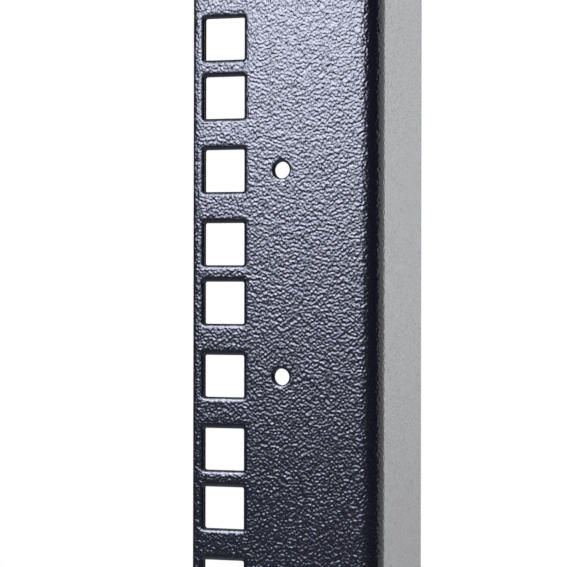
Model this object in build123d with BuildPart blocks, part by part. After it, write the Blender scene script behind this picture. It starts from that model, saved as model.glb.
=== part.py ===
"""The upright of a server rack: one folded, punched and coated steel sheet, six rack units long.

Lengths are in millimetres. Z runs up the upright from its lower end. The front face lies on the
plane y = 0 and faces -Y, and x = 0 is the centre line of the square holes.
"""

import os

from build123d import *

os.makedirs("parts", exist_ok=True)

# Rack unit: the middle one of its three hole rows halves it, and the outer two lie near its lines
unit_height = 44.45
unit_count = 6
outer_row_to_line = 6.35

# Folded sheet, its coat included
sheet_thickness = 2.0
bend_inside_radius = 2.0
free_edge_radius = 0.3
column_to_free_edge = 7.0
column_to_side_face = 35.0
flange_depth = 40.0

# Coat, which narrows each punched hole by its thickness on every side
coat_thickness = 0.2

# Square holes, punched from the front
square_punch_width = 9.5
square_corner_radius = 0.6
square_rim_radius = 0.5

# Small round hole beside the middle square hole of each unit
column_to_round_hole = 13.0
round_punch_diameter = 4.0
round_rim_radius = 0.4

upright_height = unit_height * unit_count
square_width = square_punch_width - 2 * coat_thickness
round_radius = round_punch_diameter / 2 - coat_thickness

# Heights of all the holes
units = [unit_height * unit for unit in range(unit_count)]
rows = [outer_row_to_line, unit_height / 2, unit_height - outer_row_to_line]
square_places = [(0, unit + row) for unit in units for row in rows]
round_places = [(column_to_round_hole, unit + unit_height / 2) for unit in units]

# Front plane seen from in front: its local x is the row's x, and its local y is the row's z
front = Plane(origin=(0, 0, 0), x_dir=(1, 0, 0), z_dir=(0, -1, 0))


def front_rims(part):
    """The rims of the holes in the front face, from left to right."""
    face = part.faces().filter_by(Axis.Y).sort_by(Axis.Y)[0]
    return face.inner_wires().sort_by(Axis.X)


with BuildPart() as upright:
    # Section of the sheet: its outside and inside skins, each bent once, and its two cut ends
    with BuildSketch(Plane.XY) as section:
        with BuildLine():
            outside = FilletPolyline(
                (-column_to_free_edge, 0),
                (column_to_side_face, 0),
                (column_to_side_face, flange_depth),
                radius=bend_inside_radius + sheet_thickness,
            )
            inside = FilletPolyline(
                (-column_to_free_edge, sheet_thickness),
                (column_to_side_face - sheet_thickness, sheet_thickness),
                (column_to_side_face - sheet_thickness, flange_depth),
                radius=bend_inside_radius,
            )
            Line(outside @ 0, inside @ 0)
            Line(outside @ 1, inside @ 1)
        make_face()
        face_end = section.vertices().group_by(Axis.X)[0]
        flange_end = section.vertices().group_by(Axis.Y)[-1]
        fillet(face_end + flange_end, free_edge_radius)
    extrude(amount=upright_height)

    # Square holes up the column
    with BuildSketch(front):
        with Locations(*square_places):
            RectangleRounded(square_width, square_width, square_corner_radius - coat_thickness)
    extrude(amount=-sheet_thickness, mode=Mode.SUBTRACT)

    # Small round holes
    with BuildSketch(front):
        with Locations(*round_places):
            Circle(round_radius)
    extrude(amount=-sheet_thickness, mode=Mode.SUBTRACT)

    # Rims that the punch draws down on the front, round the round holes and then the square ones
    round_rims = front_rims(upright)[-len(round_places):]
    fillet([edge for rim in round_rims for edge in rim.edges()], round_rim_radius)
    square_rims = front_rims(upright)[: len(square_places)]
    fillet([edge for rim in square_rims for edge in rim.edges()], square_rim_radius)

upright.part.label = "upright"
export_step(upright.part, "parts/upright.step")
box = upright.part.bounding_box()
print("upright", round(box.size.X, 3), round(box.size.Y, 3), round(box.size.Z, 3), "mm")
print("volume", round(upright.part.volume, 1), "mm3, solids", len(upright.part.solids()))
print("section", round(section.sketch.area, 3), "mm2, faces", len(upright.part.faces()))
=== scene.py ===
# %% [markdown]
# # The upright of a server rack
#
# A rack's equipment hangs on uprights like this one. It is a single strip of sheet steel:
# punched with a column of square holes, folded once, and baked with a black powder coat.
# This lesson models a length of six rack units, gives it its leathery coat, and lights it
# as a product photographer would. All lengths in the scene are in metres.

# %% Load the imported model
import math

import bmesh
import bpy
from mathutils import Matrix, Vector


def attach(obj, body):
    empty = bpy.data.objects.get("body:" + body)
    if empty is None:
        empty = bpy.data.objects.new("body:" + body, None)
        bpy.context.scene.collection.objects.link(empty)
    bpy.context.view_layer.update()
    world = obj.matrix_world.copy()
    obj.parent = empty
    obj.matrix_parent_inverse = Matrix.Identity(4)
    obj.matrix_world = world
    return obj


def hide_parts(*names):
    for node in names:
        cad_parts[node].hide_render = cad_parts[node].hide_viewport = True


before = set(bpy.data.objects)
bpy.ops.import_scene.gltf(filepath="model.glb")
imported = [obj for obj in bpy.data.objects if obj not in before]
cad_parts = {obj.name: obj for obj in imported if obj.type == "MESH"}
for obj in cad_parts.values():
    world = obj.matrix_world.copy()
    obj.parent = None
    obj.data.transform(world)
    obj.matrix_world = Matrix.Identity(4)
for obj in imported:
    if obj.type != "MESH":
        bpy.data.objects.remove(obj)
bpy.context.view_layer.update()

# %% [markdown]
# ## The camera
#
# The photograph is a close view of about three of the six units. Four things fix where it was
# taken from: the holes are 44.45 mm apart from unit to unit, the small round holes stand a
# known distance beside the square ones, the hole edges slope with perspective, and the
# flange shows on the right. They fit a long lens 0.42 m away, 16 degrees round to the side.

# %% Set up the camera
MM = 0.001
VIEW_AZIMUTH = math.radians(16.382)
VIEW_ROLL = math.radians(-0.1)
CAMERA_PLACE = Vector((131.2, -400.2, 131.2)) * MM
SENSOR_WIDTH = 36
LENS = 123.5

camera = bpy.data.objects.new("camera", bpy.data.cameras.new("camera"))
camera.location = CAMERA_PLACE
camera.rotation_euler = (math.radians(90), VIEW_ROLL, VIEW_AZIMUTH)
camera.data.sensor_width = SENSOR_WIDTH
camera.data.lens = LENS
bpy.context.scene.collection.objects.link(camera)
bpy.context.scene.camera = camera
print("camera is", round(camera.location.length, 3), "m from the upright's lower end")

# %% [markdown]
# ## The sizes of the sheet
#
# The real part is made in a press. A punch draws the front of the sheet down as it enters, so
# every hole has a soft rim on the front and a crisp edge behind. The blade that shears the
# free edge does the same, and wider. These rims catch the light in the photograph, so each
# has its own reach and depth here. The bend isn't quite round either: it leaves the face on
# an easy radius and then tightens.

# %% Sizes in millimetres
QUARTER = math.radians(90)

UNIT = 44.45
UNITS = 6
ROWS = (6.35, 22.225, 38.1)
SHEET = 2.0
FREE_EDGE_X = -7.0
SIDE_X = 35.0
FLANGE_DEPTH = 40.0
SQUARE_HALF = 4.55
SQUARE_CORNER = 0.4
ROUND_X = 13.0
ROUND_RADIUS = 1.8
HEIGHT = UNIT * UNITS

# Inside radius of the bend, and the easier one that it has for its first degrees
BEND_INSIDE = 2.0
EASE_INSIDE = 5.0
EASE_TURN = math.radians(13)

# A rim: how far it reaches over the face, how deep it sinks, and its curve. A curve of 1 is a
# quarter of an ellipse, and a smaller one leaves the face more gradually
SQUARE_RIM = (1.75, 0.5, 2 / 3)
ROUND_RIM = (1.05, 0.26, 2 / 3)
FREE_EDGE_RIM = (2.3, 0.38, 1)
BACK_RIM = (0.15, 0.15, 1)
END_ROUND = 0.25

# A rim is longer above its hole than below. Where it stands some way outside the wall, it is
# moved up by this share of that way squared
RIM_LEAN = 0.2

# The least space between a rim and the rounding of the sheet's ends
END_MARGIN = 0.03

hole_heights = [UNIT * unit + row for unit in range(UNITS) for row in ROWS]
print(len(hole_heights), "square holes, up to", round(hole_heights[-1], 2), "mm")

# %% [markdown]
# ## A grid with room for holes
#
# Cutting holes with a Boolean leaves long thin triangles and ragged shading. Here the whole
# skin is one grid of four-sided faces instead, and each hole has a cell of the grid kept
# free for it. Rings of points then lead from the cell's border to the rim, down the wall and
# out at the back. Every ring has as many points as the border of its cell, so the faces
# between them are four-sided too. The borders between cells stand a little high, because the
# rims do.

# %% Grid lines across a cell
SIDE_STEPS = 4
CORNER_STEPS = 8
HALF_CORNER = CORNER_STEPS // 2
CELL_STEPS = SIDE_STEPS + CORNER_STEPS


def spread(start, end, steps):
    """Numbers from start up to, but without, end."""
    return [start + (end - start) * step / steps for step in range(steps)]


def cell_lines(low, high, centre, straight):
    """Grid lines through a cell: close together beside the straight part of its hole."""
    near, far = centre - straight, centre + straight
    return (
        spread(low, near, HALF_CORNER)
        + spread(near, far, SIDE_STEPS)
        + spread(far, high, HALF_CORNER)
    )


straight_half = SQUARE_HALF - SQUARE_CORNER
cell_shift = RIM_LEAN * SQUARE_RIM[0] ** 2
cell_ends = [END_ROUND]
for below, above in zip(hole_heights, hole_heights[1:]):
    cell_ends.append((below + above) / 2 + cell_shift)
cell_ends.append(HEIGHT - END_ROUND)

grid_heights = []
for low, high, centre in zip(cell_ends, cell_ends[1:], hole_heights):
    grid_heights += cell_lines(low, high, centre, straight_half)
grid_heights.append(cell_ends[-1])
print(len(grid_heights), "grid lines up the sheet")

# %% [markdown]
# ## The section
#
# Seen from above, the sheet is an L with a rounded corner. Its outside and inside skins are
# listed as pairs of points, front free edge first, so that the two ends of the upright can
# be closed by joining each pair. The grid lines of the hole cells are among them.

# %% Section of the folded sheet
SQUARE_CELL = (-6.4, 6.4)
ROUND_CELL = (9.6, 16.4)
BEND_STEPS = 30
RIM_STEPS = 10


def rim_point(step, rim):
    """Distance in from the cut edge and depth below the skin, step by step along a rim."""
    reach, depth, curve = rim
    turn = QUARTER * step / RIM_STEPS
    return reach * (1 - math.sin(turn) ** curve), depth * (1 - math.cos(turn))


def edge_drop(x):
    """How far the sheared free edge has drawn the front skin down at x."""
    reach, depth, _ = FREE_EDGE_RIM
    share = max(0.0, 1 - (x - FREE_EDGE_X) / reach)
    return depth * (1 - math.sqrt(1 - share * share))


outside, inside = [], []

# Free edge, from its corners to the cells of the square holes, where lines crowd to the corner
strip = SQUARE_CELL[0] - FREE_EDGE_X
for step in range(RIM_STEPS, 0, -1):
    x = FREE_EDGE_X + strip * (1 - step / RIM_STEPS) ** 2
    outside.append((x, edge_drop(x)))
    inward, depth = rim_point(step, BACK_RIM)
    inside.append((FREE_EDGE_X + inward, SHEET - depth))

# Flat face, with the cells of the square and the round holes
square_column = len(outside)
face_lines = cell_lines(*SQUARE_CELL, 0, straight_half) + [SQUARE_CELL[1]]
round_column = len(outside) + len(face_lines)
face_lines += cell_lines(*ROUND_CELL, ROUND_X, ROUND_RADIUS / 2) + [ROUND_CELL[1]]
for x in face_lines:
    outside.append((x, edge_drop(x)))
    inside.append((x, SHEET))

# Bend, which leaves the face on a wide radius and then tightens
slack = EASE_INSIDE - BEND_INSIDE
bend_x = SIDE_X - SHEET - BEND_INSIDE
bend_y = SHEET + EASE_INSIDE - slack * math.cos(EASE_TURN)
ease = (bend_x - slack * math.sin(EASE_TURN), SHEET + EASE_INSIDE, EASE_INSIDE)
for step in range(BEND_STEPS + 1):
    turn = QUARTER * step / BEND_STEPS
    x, y, radius = ease if turn < EASE_TURN else (bend_x, bend_y, BEND_INSIDE)
    for skin, reach in ((outside, radius + SHEET), (inside, radius)):
        skin.append((x + reach * math.sin(turn), y - reach * math.cos(turn)))

# Rear edge of the flange
for step in range(RIM_STEPS + 1):
    inward, depth = rim_point(step, BACK_RIM)
    outside.append((SIDE_X - depth, FLANGE_DEPTH - inward))
    inside.append((SIDE_X - SHEET + depth, FLANGE_DEPTH - inward))

section = outside + inside[::-1]
pairs = len(outside)
print(pairs, "pairs of points round the section")

# %% [markdown]
# ## From section to skin
#
# The section is repeated at every grid height. At the two ends it also shrinks a little, to
# round the sawn edge. Moving each point along its own normal keeps the sheet's thickness
# even, also round the bend.

# %% Points of the skin
END_STEPS = 3


def inward_normals(loop):
    """Unit vectors that point from a closed loop of points into the sheet."""
    normals = []
    for before, after in zip(loop[-1:] + loop[:-1], loop[1:] + loop[:1]):
        along = Vector(after) - Vector(before)
        normals.append(Vector((-along.y, along.x)).normalized())
    return normals


levels = [(height, 0.0) for height in grid_heights]
for step in range(1, END_STEPS + 1):
    turn = QUARTER * step / END_STEPS
    sink, shrink = END_ROUND * math.sin(turn), END_ROUND * (1 - math.cos(turn))
    levels.insert(0, (END_ROUND - sink, shrink))
    levels.append((HEIGHT - END_ROUND + sink, shrink))

mesh = bmesh.new()
normals = inward_normals(section)
skin_points = []
for height, shrink in levels:
    row = []
    for place, normal in zip(section, normals):
        x, y = Vector(place) + normal * shrink
        row.append(mesh.verts.new(Vector((x, y, height)) * MM))
    skin_points.append(row)
print(len(skin_points), "levels of", len(section), "points")

# %% [markdown]
# ## Holes
#
# The border of a cell and every ring of its hole are walked the same way round: anticlockwise
# seen from in front, from the lower right corner. So point by point they can be joined.
# A ring of a square hole spends its points on the rounded corners, and a ring of a round
# hole spreads them evenly.

# %% Rings round a hole
def square_side(step, grow):
    """One point on the right side of the square hole's ring, which stands grow outside the wall."""
    turn = 0.0
    along = straight_half * (2 * (step - HALF_CORNER) / SIDE_STEPS - 1)
    if step < HALF_CORNER:
        turn, along = QUARTER / 2 * (step / HALF_CORNER - 1), -straight_half
    if step > HALF_CORNER + SIDE_STEPS:
        share = (step - HALF_CORNER - SIDE_STEPS) / HALF_CORNER
        turn, along = QUARTER / 2 * share, straight_half
    radius = SQUARE_CORNER + grow
    return straight_half + radius * math.cos(turn), along + radius * math.sin(turn)


def round_side(step, grow):
    """The same for the round hole."""
    turn = QUARTER * (step / CELL_STEPS - 0.5)
    radius = ROUND_RADIUS + grow
    return radius * math.cos(turn), radius * math.sin(turn)


def ring(side_point, centre, grow, depth, skin=None):
    """New points all round a hole, depth under the given skin, or under the front plane."""
    points = []
    top = HEIGHT - END_ROUND - END_MARGIN
    lean = RIM_LEAN * grow**2 if skin and centre[1] < hole_heights[-1] else 0.0
    for side in range(4):
        cosine, sine = round(math.cos(QUARTER * side)), round(math.sin(QUARTER * side))
        for step in range(CELL_STEPS):
            out, up = side_point(step, grow)
            x = centre[0] + out * cosine - up * sine
            z = min(top, centre[1] + out * sine + up * cosine + lean)
            y = depth + skin(x) if skin else depth
            points.append(mesh.verts.new(Vector((x, y, z)) * MM))
    return points


def cell_border(left, bottom):
    """The skin's own points round a cell, from its left column and its lowest level."""
    step = 1 if left < pairs else -1
    right, top = left + step * CELL_STEPS, bottom + CELL_STEPS
    places = [(level, right) for level in range(bottom, top)]
    places += [(top, column) for column in range(right, left, -step)]
    places += [(level, left) for level in range(top, bottom, -1)]
    places += [(bottom, column) for column in range(left, right, step)]
    return [skin_points[level][column] for level, column in places]


def join(first, second, finish):
    """Four-sided faces between two rings with as many points each."""
    for here in range(len(first)):
        there = (here + 1) % len(first)
        face = mesh.faces.new((first[here], first[there], second[there], second[here]))
        face.material_index = finish


# %% [markdown]
# The wall of a punched hole is smooth and straight for about half the sheet. Then the steel
# tears, and the hole widens a little towards the back. Under the coat this torn part stays
# rough, and on a rim that was drawn down it lies smoother than on the face. So the coat has
# three finishes: face, rim and wall. Their numbers are their order in the list of materials.

# %% Cut the holes
COAT, RIM_COAT, CUT_WALL = 0, 1, 2
SMOOTH_FROM_STEP = 2
TEAR_DEPTH = 1.0
TEAR_WIDENING = 0.06


def opposite(column):
    """The column of the inside skin that pairs with one of the outside skin."""
    return 2 * pairs - 1 - column


def cut_hole(side_point, centre, rim, column, level):
    """A hole from the cell in front, through the sheet, to the cell behind."""
    rings = [(cell_border(column, level), COAT)]
    for step in range(RIM_STEPS + 1):
        grow, depth = rim_point(step, rim)
        finish = RIM_COAT if step > SMOOTH_FROM_STEP else COAT
        rings.append((ring(side_point, centre, grow, depth, edge_drop), finish))
    rings.append((ring(side_point, centre, 0.0, TEAR_DEPTH), CUT_WALL))
    for step in range(RIM_STEPS, -1, -2):
        grow, depth = rim_point(step, BACK_RIM)
        back = ring(side_point, centre, TEAR_WIDENING + grow, SHEET - depth)
        rings.append((back, CUT_WALL if step == RIM_STEPS else RIM_COAT))
    rings.append((cell_border(opposite(column), level), COAT))
    for (first, _), (second, finish) in zip(rings, rings[1:]):
        join(first, second, finish)


open_cells = set()
for number, height in enumerate(hole_heights):
    level = END_STEPS + CELL_STEPS * number
    holes = [(square_side, 0.0, SQUARE_RIM, square_column)]
    if number % len(ROWS) == 1:
        holes.append((round_side, ROUND_X, ROUND_RIM, round_column))
    for side_point, x, rim, column in holes:
        cut_hole(side_point, (x, height), rim, column, level)
        for row in range(level, level + CELL_STEPS):
            for front in range(column, column + CELL_STEPS):
                open_cells |= {(row, front), (row, opposite(front) - 1)}
print(len(mesh.faces), "faces round the holes")

# %% Skin the rest of the sheet and close its ends
for level in range(len(levels) - 1):
    for column in range(len(section)):
        if (level, column) in open_cells:
            continue
        beside = (column + 1) % len(section)
        here, above = skin_points[level], skin_points[level + 1]
        mesh.faces.new((here[column], here[beside], above[beside], above[column]))

for row in (skin_points[0], skin_points[-1]):
    for column in range(pairs - 1):
        behind = opposite(column)
        mesh.faces.new((row[column], row[column + 1], row[behind - 1], row[behind]))

loose = [point for point in mesh.verts if not point.link_faces]
bmesh.ops.delete(mesh, geom=loose, context="VERTS")
bmesh.ops.recalc_face_normals(mesh, faces=mesh.faces)
if mesh.calc_volume(signed=True) < 0:
    bmesh.ops.reverse_faces(mesh, faces=mesh.faces)
open_edges = [edge for edge in mesh.edges if len(edge.link_faces) != 2]
volume = mesh.calc_volume(signed=True) / MM**3
print(len(mesh.faces), "faces in all,", len(open_edges), "open edges,", round(volume), "mm3")

# %% [markdown]
# ## The upright as an object
#
# The rims are shaded smooth. Weighted normals then keep the wide flat faces flat right up to
# them, because where a large and a narrow face meet, the large one counts for more.

# %% Make the object
shape = bpy.data.meshes.new("punched_upright")
mesh.to_mesh(shape)
mesh.free()
shape.shade_smooth()
upright = bpy.data.objects.new("punched_upright", shape)
bpy.context.scene.collection.objects.link(upright)
flat_faces = upright.modifiers.new("flat faces stay flat", "WEIGHTED_NORMAL")
flat_faces.weight = 50
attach(upright, "root")
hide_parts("upright")
print("upright made of", len(shape.polygons), "faces")

# %% [markdown]
# ## Arithmetic for materials
#
# A material's nodes are easier to read as sums. This class holds the output of a node, and
# adds a Math node whenever it meets an operator. A second class adds every other node.

# %% Shader arithmetic
def math_operator(operation, swapped=False):
    """The method for one operator, with its two sides swapped for the reflected form."""

    def method(self, other):
        left, right = (other, self) if swapped else (self, other)
        return self.nodes.add("ShaderNodeMath", {"operation": operation}, {0: left, 1: right})

    return method


class Value:
    """The output of a shader node, with arithmetic."""

    def __init__(self, nodes, socket):
        self.nodes = nodes
        self.socket = socket

    __add__ = math_operator("ADD")
    __radd__ = math_operator("ADD", swapped=True)
    __rsub__ = math_operator("SUBTRACT", swapped=True)
    __mul__ = math_operator("MULTIPLY")
    __rmul__ = math_operator("MULTIPLY", swapped=True)


class Nodes:
    """The node tree of a material or a world."""

    def __init__(self, owner):
        owner.use_nodes = True
        self.tree = owner.node_tree
        self.tree.nodes.clear()

    def add(self, kind, settings, inputs, output=0):
        """Adds a node: first its settings, then the values or links of its sockets."""
        node = self.tree.nodes.new(kind)
        for name, setting in settings.items():
            setattr(node, name, setting)
        for name, value in inputs.items():
            if isinstance(value, Value):
                self.tree.links.new(value.socket, node.inputs[name])
            else:
                node.inputs[name].default_value = value
        return Value(self, node.outputs[output] if node.outputs else None)

    def ramp(self, value, low, high, curve="SMOOTHSTEP"):
        """Rises from 0 where value is low to 1 where it is high."""
        settings = {"interpolation_type": curve}
        inputs = {"Value": value, "From Min": low, "From Max": high}
        return self.add("ShaderNodeMapRange", settings, inputs)


print("operators ready")

# %% [markdown]
# ## The powder coat
#
# The powder is blown on dry and melts in an oven. Where it is meant to look like leather, it
# shrinks into low swells with fine creases between them, here about a millimetre apart and
# some hundredths of a millimetre high. The colour hardly varies. What the eye sees is the
# light of the lamp, which each swell throws a different way, so the pattern is all in the
# bump. Noise makes good swells, but it is built on a lattice, and where the lattice lies
# along the sheet its rows show. Turned askew, they don't.

# %% Powder coat
COAT_COLOUR = (0.0062, 0.0068, 0.0118, 1)
COAT_GLINT = (0.85, 0.875, 1.0, 1)
COAT_IOR = 1.7
SWELLS_TO_A_METRE = 1720.0
ASKEW = (0.6, 0.5, 0.4)

# Name, roughness, height of the relief in metres, and gloss, where 0.5 is the coat's full mirror
FINISHES = (
    ("leather_coat", 0.22, 0.000115, 0.5),
    ("coat_drawn_smooth", 0.2, 0.00005, 0.5),
    ("coat_over_torn_steel", 0.9, 0.00012, 0.05),
)


def coat_height(nodes):
    """Height of the coat's surface, between 0 in the creases and 1 on the swells."""
    place = nodes.add("ShaderNodeTexCoord", {}, {}, "Object")
    askew = nodes.add("ShaderNodeMapping", {}, {"Vector": place, "Rotation": ASKEW})
    swells = {"Vector": askew, "Scale": SWELLS_TO_A_METRE, "Detail": 0.0}
    return nodes.add("ShaderNodeTexNoise", {}, swells)


def coat_material(name, roughness, relief_height, gloss):
    """A dark coat whose only pattern is the relief of its surface."""
    material = bpy.data.materials.new(name)
    nodes = Nodes(material)
    bump = {"Height": coat_height(nodes), "Strength": 1.0, "Distance": relief_height}
    relief = nodes.add("ShaderNodeBump", {}, bump)
    shader = nodes.add(
        "ShaderNodeBsdfPrincipled",
        {},
        {
            "Base Color": COAT_COLOUR,
            "Roughness": roughness,
            "IOR": COAT_IOR,
            "Specular IOR Level": gloss,
            "Specular Tint": COAT_GLINT,
            "Normal": relief,
        },
    )
    nodes.add("ShaderNodeOutputMaterial", {}, {"Surface": shader})
    return material


for finish in FINISHES:
    shape.materials.append(coat_material(*finish))
print("finishes:", [finish.name for finish in shape.materials])

# %% [markdown]
# ## Light
#
# In the photograph the front is a mirror for one soft light. It stands where the camera's
# view bounces to, to the left of the face and a little above it, so the face is bright at
# the top and falls to near black at the bottom. A real softbox is brightest and warmest in
# its middle, so the key light is three lamps, one wider than the other. They stand two
# centimetres apart, because lamps at exactly one distance hide each other in a mirror. A dim
# lamp above them draws the line under each hole.
#
# The flange mirrors the white backdrop at a glancing angle, and a lamp close behind it, which
# fades towards the bottom. The bend mirrors the dark side of the studio. The lamps on the
# left and overhead are for the sides that the photograph doesn't show.

# %% Lamps
FACE_MIDDLE = Vector((14, 0, 131)) * MM
WHITE = (1, 1, 1)

# Name, azimuth and elevation in degrees, distance, width and height, radiance, colour
SOFTBOXES = (
    ("key_core", -16, 18.5, 1.18, (0.25, 0.25), 8.2, (1, 0.87, 0.77)),
    ("key_middle", -16, 18.5, 1.2, (0.49, 0.49), 6.0, (0.97, 0.97, 1)),
    ("key_rim", -16, 18.5, 1.22, (0.74, 0.74), 6.0, (0.8, 0.85, 1)),
    ("high_softbox", -16, 47, 1.26, (0.6, 0.36), 1.4, WHITE),
    ("back_softbox", 155, 8, 0.35, (0.12, 0.56), 1.1, WHITE),
    ("left_softbox", -95, 12, 1.1, (0.9, 1.1), 0.6, WHITE),
    ("top_softbox", 175, 65, 1.15, (0.8, 0.8), 1.0, WHITE),
)


def direction(azimuth, elevation):
    """Unit vector: azimuth 0 is in front of the face, and grows towards the flange side."""
    turn, rise = math.radians(azimuth), math.radians(elevation)
    level = math.cos(rise)
    return Vector((math.sin(turn) * level, -math.cos(turn) * level, math.sin(rise)))


def add_softbox(name, azimuth, elevation, distance, size, radiance, colour):
    """A rectangular lamp that looks radiance times as bright as white paper."""
    light = bpy.data.lights.new(name, "AREA")
    light.color = colour
    light.shape = "RECTANGLE"
    light.size, light.size_y = size
    light.energy = radiance * math.pi * size[0] * size[1]
    lamp = bpy.data.objects.new(name, light)
    lamp.location = FACE_MIDDLE + direction(azimuth, elevation) * distance
    lamp.rotation_euler = direction(azimuth, elevation).to_track_quat("Z", "Y").to_euler()
    lamp.visible_camera = False
    bpy.context.scene.collection.objects.link(lamp)


for softbox in SOFTBOXES:
    add_softbox(*softbox)

# %% [markdown]
# ## Backdrop and floor
#
# The world is a white backdrop behind the upright, a dim studio in front of it and a floor
# that glows faintly below. The camera sees white whichever way it looks, as on the page of a
# catalogue, and in a mirror the backdrop is as white as that. The floor is a pale round patch
# that fades out into the white and keeps the shadow. It ends in front of the back lamp, which
# would draw an edge on it.

# %% Backdrop
STUDIO_DIM = 0.02
FLOOR_GLOW = 0.32
BACKDROP_LIGHT = 0.8

# Each pair says where a part of the world begins and where it shows in full. It is read from the
# unit vector of a view: backwards for the backdrop's side, and upwards for the other two
BACKDROP_SIDE = (-0.1, 0.05)
BACKDROP_FOOT = (-0.5, 0.0)
GLOW_TOP = (-0.2, -0.5)

world = bpy.data.worlds.new("studio")
bpy.context.scene.world = world
nodes = Nodes(world)
ray = nodes.add("ShaderNodeLightPath", {}, {})
ray_kinds = ray.socket.node.outputs
camera_ray = Value(nodes, ray_kinds["Is Camera Ray"])
glossy_ray = Value(nodes, ray_kinds["Is Glossy Ray"])
transmission_ray = Value(nodes, ray_kinds["Is Transmission Ray"])
way = nodes.add("ShaderNodeTexCoord", {}, {}, "Generated")
apart = nodes.add("ShaderNodeSeparateXYZ", {}, {"Vector": way})
ways = apart.socket.node.outputs
depth, height = Value(nodes, ways["Y"]), Value(nodes, ways["Z"])
behind = nodes.ramp(depth, *BACKDROP_SIDE) * nodes.ramp(height, *BACKDROP_FOOT, "LINEAR")
below = nodes.ramp(height, *GLOW_TOP)
mirrored = glossy_ray + transmission_ray
white = camera_ray + mirrored * behind
room = STUDIO_DIM + FLOOR_GLOW * below + BACKDROP_LIGHT * behind * (1 - mirrored)
strength = white + (1 - white) * room
glow = nodes.add("ShaderNodeBackground", {}, {"Color": (1, 1, 1, 1), "Strength": strength})
nodes.add("ShaderNodeOutputWorld", {}, {"Surface": glow})

# %% Floor
FLOOR_MIDDLE = (0.03, 0.085)
FLOOR_RADIUS = 0.26
FLOOR_GAP = 0.0002
FLOOR_COLOUR = (0.9, 0.9, 0.9, 1)
FADE_START, FADE_END = 0.4 * FLOOR_RADIUS, 0.98 * FLOOR_RADIUS

floor_mesh = bmesh.new()
bmesh.ops.create_circle(floor_mesh, cap_ends=True, segments=96, radius=FLOOR_RADIUS)
floor_shape = bpy.data.meshes.new("floor")
floor_mesh.to_mesh(floor_shape)
floor_mesh.free()
floor = bpy.data.objects.new("floor", floor_shape)
floor.location = (*FLOOR_MIDDLE, -FLOOR_GAP)
bpy.context.scene.collection.objects.link(floor)

floor_finish = bpy.data.materials.new("pale_floor")
nodes = Nodes(floor_finish)
place = nodes.add("ShaderNodeTexCoord", {}, {}, "Object")
length = nodes.add("ShaderNodeVectorMath", {"operation": "LENGTH"}, {0: place}, "Value")
fade = nodes.ramp(length, FADE_START, FADE_END)
paper = nodes.add("ShaderNodeBsdfDiffuse", {}, {"Color": FLOOR_COLOUR})
clear = nodes.add("ShaderNodeBsdfTransparent", {}, {})
surface = nodes.add("ShaderNodeMixShader", {}, {0: fade, 1: paper, 2: clear})
nodes.add("ShaderNodeOutputMaterial", {}, {"Surface": surface})
floor_shape.materials.append(floor_finish)
print("floor patch", 2 * FLOOR_RADIUS, "m across")

# %% [markdown]
# ## The view transform
#
# Last, the render's colours are shown through the Standard view transform.

# %% Set the view transform
bpy.context.scene.view_settings.view_transform = "Standard"
